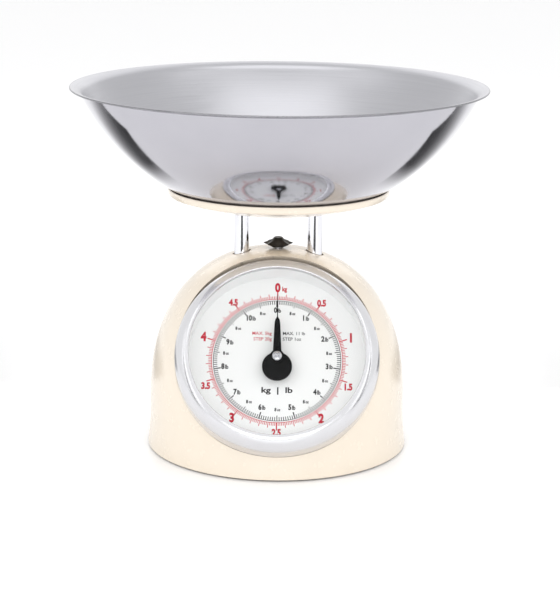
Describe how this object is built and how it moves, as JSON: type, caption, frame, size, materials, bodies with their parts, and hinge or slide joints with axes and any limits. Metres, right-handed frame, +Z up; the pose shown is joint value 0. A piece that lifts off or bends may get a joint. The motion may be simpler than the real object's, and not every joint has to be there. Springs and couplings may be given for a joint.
{
  "type": "kitchen scale",
  "caption": "Free-standing mechanical kitchen scale with a domed enamelled housing, a tilted round dial and a loose steel bowl on a sprung post-mounted platform.",
  "frame": {"origin": "on the table, under the centre of the housing and of the bowl, at the underside of the rubber feet", "axes": "+Z up; -Y is the front, where the dial faces; +X to the right of someone reading the dial"},
  "size_m": [0.25, 0.25, 0.2217],
  "materials": {
    "cream_enamel": "glossy cream enamel",
    "stainless": "polished spun stainless steel",
    "chrome": "polished chrome plate",
    "satin_silver": "satin silver with a bright edge",
    "clear_cover": "clear",
    "black_rubber": "matte",
    "grey_plastic": "satin grey",
    "dial_white": "white printed plate",
    "black_paint": "gloss black",
    "screw_steel": "zinc plated",
    "black_plastic": "moulded black",
    "pressed_steel": "zinc plated sheet",
    "painted_base": "grey painted sheet",
    "nylon": "natural white",
    "brass": "machined",
    "spring_steel": "oiled spring wire"
  },
  "bodies": {
    "base": {"housing": "cream_enamel", "bezel": "satin_silver", "bezel_screws": "screw_steel", "lens_seal": "black_rubber", "lens": "clear_cover", "dial_spacer": "grey_plastic", "dial_plate": "dial_white", "dial_bracket": "pressed_steel", "bracket_screws": "screw_steel", "mechanism_frame": "pressed_steel", "frame_screws": "screw_steel", "base_plate": "painted_base", "base_screws": "screw_steel", "rubber_feet": "black_rubber", "bearing_bracket": "pressed_steel", "bearing_screws": "screw_steel", "rack_guide": "nylon", "shaft_bushes": "brass", "overload_stops": "nylon", "frame_pins": "screw_steel", "spring_left": "spring_steel", "spring_right": "spring_steel"},
    "carrier": {"rack": "brass", "rack_screw": "screw_steel", "carrier_frame": "pressed_steel", "post_left": "chrome", "post_right": "chrome", "post_nuts": "screw_steel", "post_collars": "nylon", "lever_pins": "screw_steel", "platform": "cream_enamel", "platform_screws": "screw_steel"},
    "bowl": {"bowl": "stainless"},
    "pointer": {"pinion_shaft": "brass", "pointer": "black_paint", "pointer_screw": "screw_steel"},
    "upper_lever": {"upper_lever": "pressed_steel"},
    "lower_lever": {"lower_lever": "pressed_steel"},
    "zero_knob": {"zero_screw": "screw_steel", "zero_knob": "black_plastic"},
    "hanger": {"spring_hanger": "pressed_steel"}
  },
  "joints": [
    {"name": "platform_slide", "type": "slide", "parent": "base", "child": "carrier", "axis": [0, 0, 1], "range_m": [-0.0155, 0], "stiffness_N_per_m": 3160, "springref_m": 0.0036, "deforming": ["spring_left", "spring_right"]},
    {"name": "bowl_lift", "type": "slide", "parent": "carrier", "child": "bowl", "axis": [0, 0, 1], "range_m": [0, 0.08]},
    {"name": "pointer_spin", "type": "hinge", "parent": "base", "child": "pointer", "pos_m": [0, -0.041, 0.0629], "axis": [0, -0.809, 0.5878], "range_deg": [-360.5, 0]},
    {"name": "upper_lever_swing", "type": "hinge", "parent": "base", "child": "upper_lever", "pos_m": [0, 0.034, 0.04425], "axis": [1, 0, 0], "range_deg": [0, 26]},
    {"name": "lower_lever_swing", "type": "hinge", "parent": "base", "child": "lower_lever", "pos_m": [0, 0.034, 0.01975], "axis": [1, 0, 0], "range_deg": [0, 26]},
    {"name": "zero_knob_turn", "type": "hinge", "parent": "base", "child": "zero_knob", "pos_m": [0, 0, 0.1236], "axis": [0, 0, 1], "range_deg": [-310, 310]},
    {"name": "hanger_slide", "type": "slide", "parent": "base", "child": "hanger", "axis": [0, 0, 1], "range_m": [-0.0006, 0.0006]}
  ],
  "couplings": [
    {"joint": "pointer_spin", "follows": "platform_slide", "rad_per_m": 405.37},
    {"joint": "upper_lever_swing", "follows": "platform_slide", "rad_per_m": -28.918},
    {"joint": "lower_lever_swing", "follows": "platform_slide", "rad_per_m": -28.918},
    {"joint": "zero_knob_turn", "follows": "hanger_slide", "rad_per_m": -8976}
  ]
}
